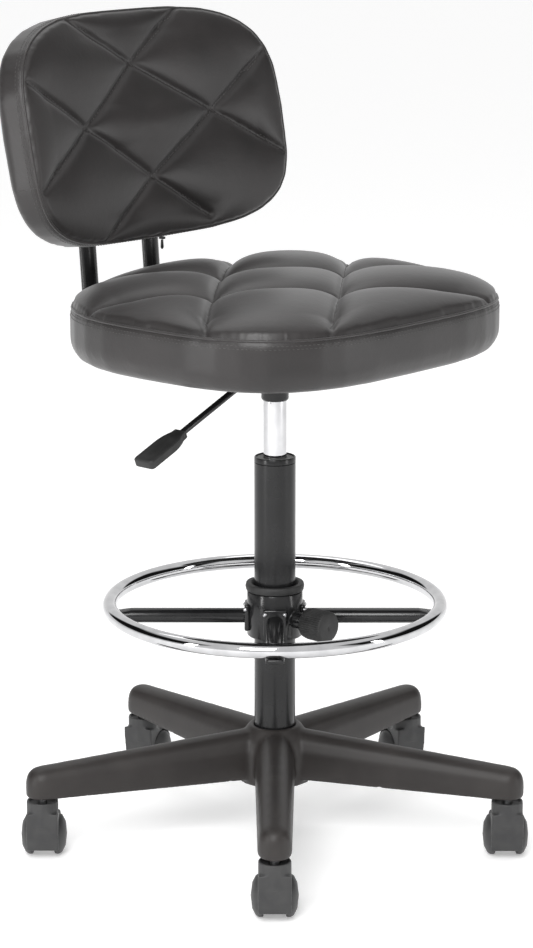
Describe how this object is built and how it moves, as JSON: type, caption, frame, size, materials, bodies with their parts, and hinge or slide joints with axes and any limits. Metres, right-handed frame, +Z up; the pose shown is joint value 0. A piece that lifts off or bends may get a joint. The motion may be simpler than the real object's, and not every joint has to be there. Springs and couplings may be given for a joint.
{
  "type": "drafting chair",
  "caption": "Armless drafting chair: quilted seat and backrest on a gas column, height-adjustable chromed foot ring, star base on twin-wheel casters.",
  "frame": {"origin": "on the floor, under the middle of the bounding box", "axes": "+Z up along the column; -Y is the seat's front; +X is the sitter's left"},
  "size_m": [0.6104, 0.6188, 0.9973],
  "materials": {
    "leather": "black grained leatherette, semi-matt",
    "base_nylon": "satin black nylon",
    "caster_plastic": "satin dark grey plastic",
    "black_steel": "black powder coat, satin to gloss",
    "chrome": "polished chrome",
    "steel": "zinc-plated steel",
    "bush_plastic": "grey acetal",
    "black_plastic": "matt black plastic",
    "wood": "plywood"
  },
  "bodies": {
    "root": {"base_star": "base_nylon", "column_tube": "black_steel", "column_bush": "bush_plastic"},
    "lift_rod": {"piston_rod": "steel", "thrust_bearing": "steel", "rod_clip": "steel"},
    "seat": {"gas_cylinder": "chrome", "lift_mechanism": "black_steel", "seat_board": "wood", "seat_cushion": "leather", "seat_bolt_1": "steel", "seat_bolt_2": "steel", "seat_bolt_3": "steel", "seat_bolt_4": "steel", "back_post_left": "black_steel", "back_post_right": "black_steel", "back_board": "wood", "backrest_cushion": "leather"},
    "lever": {"lever_rod": "black_steel", "lever_paddle": "black_plastic"},
    "release_button": {"release_button": "steel"},
    "ring_liner": {"ring_liner": "black_plastic"},
    "ring": {"ring_hub": "black_steel", "foot_ring": "chrome", "ring_spoke_1": "black_steel", "ring_spoke_2": "black_steel", "ring_spoke_3": "black_steel", "ring_spoke_4": "black_steel"},
    "clamp_shoe": {"clamp_shoe": "black_plastic"},
    "clamp_knob": {"clamp_knob": "black_plastic", "clamp_screw": "steel"},
    "zip_slider": {"zip_slider": "steel"},
    "zip_pull": {"zip_pull": "steel"},
    "caster_1": {"caster_hood_1": "caster_plastic", "caster_stem_1": "steel", "caster_axle_1": "steel"},
    "wheel_left_1": {"caster_wheel_left_1": "caster_plastic"},
    "wheel_right_1": {"caster_wheel_right_1": "caster_plastic"},
    "caster_2": {"caster_hood_2": "caster_plastic", "caster_stem_2": "steel", "caster_axle_2": "steel"},
    "wheel_left_2": {"caster_wheel_left_2": "caster_plastic"},
    "wheel_right_2": {"caster_wheel_right_2": "caster_plastic"},
    "caster_3": {"caster_hood_3": "caster_plastic", "caster_stem_3": "steel", "caster_axle_3": "steel"},
    "wheel_left_3": {"caster_wheel_left_3": "caster_plastic"},
    "wheel_right_3": {"caster_wheel_right_3": "caster_plastic"},
    "caster_4": {"caster_hood_4": "caster_plastic", "caster_stem_4": "steel", "caster_axle_4": "steel"},
    "wheel_left_4": {"caster_wheel_left_4": "caster_plastic"},
    "wheel_right_4": {"caster_wheel_right_4": "caster_plastic"},
    "caster_5": {"caster_hood_5": "caster_plastic", "caster_stem_5": "steel", "caster_axle_5": "steel"},
    "wheel_left_5": {"caster_wheel_left_5": "caster_plastic"},
    "wheel_right_5": {"caster_wheel_right_5": "caster_plastic"}
  },
  "joints": [
    {"name": "seat_swivel", "type": "hinge", "parent": "root", "child": "lift_rod", "pos_m": [-0.02533, -0.0131, 0.07], "axis": [0, 0, 1], "continuous": true},
    {"name": "seat_lift", "type": "slide", "parent": "lift_rod", "child": "seat", "axis": [0, 0, 1], "range_m": [-0.065, 0.135]},
    {"name": "lever_lift", "type": "hinge", "parent": "seat", "child": "lever", "pos_m": [-0.07533, -0.0131, 0.5784], "axis": [0, 1, 0], "range_deg": [0, 5.73]},
    {"name": "release_press", "type": "slide", "parent": "seat", "child": "release_button", "axis": [0, 0, -1], "range_m": [0, 0.0052], "stiffness_N_per_m": 1500, "springref_m": -0.001},
    {"name": "ring_height", "type": "slide", "parent": "root", "child": "ring_liner", "axis": [0, 0, 1], "range_m": [-0.1, 0.12]},
    {"name": "ring_turn", "type": "hinge", "parent": "ring_liner", "child": "ring", "pos_m": [-0.02533, -0.0131, 0.28], "axis": [0, 0, 1], "continuous": true},
    {"name": "clamp_travel", "type": "slide", "parent": "ring", "child": "clamp_shoe", "axis": [-0.0087, -1, 0], "range_m": [0, 0.0025]},
    {"name": "clamp_turn", "type": "hinge", "parent": "clamp_shoe", "child": "clamp_knob", "pos_m": [-0.02585, -0.0731, 0.28], "axis": [-0.0087, -1, 0], "range_deg": [0, 720]},
    {"name": "zip_slide", "type": "slide", "parent": "seat", "child": "zip_slider", "axis": [0.9994, -0.033, 0.0068], "range_m": [-0.09, 0]},
    {"name": "zip_pull_swing", "type": "hinge", "parent": "zip_slider", "child": "zip_pull", "pos_m": [-0.00072, 0.19497, 0.71632], "axis": [1, 0, 0], "range_deg": [-60, 60]},
    {"name": "caster_swivel_1", "type": "hinge", "parent": "root", "child": "caster_1", "pos_m": [-0.24552, -0.20791, 0.076], "axis": [0, 0, 1], "continuous": true},
    {"name": "wheel_left_spin_1", "type": "hinge", "parent": "caster_1", "child": "wheel_left_1", "pos_m": [-0.23204, -0.19599, 0.025], "axis": [-0.6626, 0.749, 0], "continuous": true},
    {"name": "wheel_right_spin_1", "type": "hinge", "parent": "caster_1", "child": "wheel_right_1", "pos_m": [-0.23204, -0.19599, 0.025], "axis": [-0.6626, 0.749, 0], "continuous": true},
    {"name": "caster_swivel_2", "type": "hinge", "parent": "root", "child": "caster_2", "pos_m": [0.09191, -0.28272, 0.076], "axis": [0, 0, 1], "continuous": true},
    {"name": "wheel_left_spin_2", "type": "hinge", "parent": "caster_2", "child": "wheel_left_2", "pos_m": [0.10539, -0.27079, 0.025], "axis": [-0.6626, 0.749, 0], "continuous": true},
    {"name": "wheel_right_spin_2", "type": "hinge", "parent": "caster_2", "child": "wheel_right_2", "pos_m": [0.10539, -0.27079, 0.025], "axis": [-0.6626, 0.749, 0], "continuous": true},
    {"name": "caster_swivel_3", "type": "hinge", "parent": "root", "child": "caster_3", "pos_m": [0.26732, 0.01507, 0.076], "axis": [0, 0, 1], "continuous": true},
    {"name": "wheel_left_spin_3", "type": "hinge", "parent": "caster_3", "child": "wheel_left_3", "pos_m": [0.27535, 0.03118, 0.025], "axis": [-0.8949, 0.4462, 0], "continuous": true},
    {"name": "wheel_right_spin_3", "type": "hinge", "parent": "caster_3", "child": "wheel_right_3", "pos_m": [0.27535, 0.03118, 0.025], "axis": [-0.8949, 0.4462, 0], "continuous": true},
    {"name": "caster_swivel_4", "type": "hinge", "parent": "root", "child": "caster_4", "pos_m": [0.03831, 0.27393, 0.076], "axis": [0, 0, 1], "continuous": true},
    {"name": "wheel_left_spin_4", "type": "hinge", "parent": "caster_4", "child": "wheel_left_4", "pos_m": [0.05527, 0.27994, 0.025], "axis": [-0.3338, 0.9426, 0], "continuous": true},
    {"name": "wheel_right_spin_4", "type": "hinge", "parent": "caster_4", "child": "wheel_right_4", "pos_m": [0.05527, 0.27994, 0.025], "axis": [-0.3338, 0.9426, 0], "continuous": true},
    {"name": "caster_swivel_5", "type": "hinge", "parent": "root", "child": "caster_5", "pos_m": [-0.27864, 0.13611, 0.076], "axis": [0, 0, 1], "continuous": true},
    {"name": "wheel_left_spin_5", "type": "hinge", "parent": "caster_5", "child": "wheel_left_5", "pos_m": [-0.26516, 0.14804, 0.025], "axis": [-0.6626, 0.749, 0], "continuous": true},
    {"name": "wheel_right_spin_5", "type": "hinge", "parent": "caster_5", "child": "wheel_right_5", "pos_m": [-0.26516, 0.14804, 0.025], "axis": [-0.6626, 0.749, 0], "continuous": true}
  ],
  "couplings": [
    {"joint": "release_press", "follows": "lever_lift", "m_per_rad": 0.05},
    {"joint": "clamp_travel", "follows": "clamp_turn", "m_per_rad": 0.00019894}
  ]
}
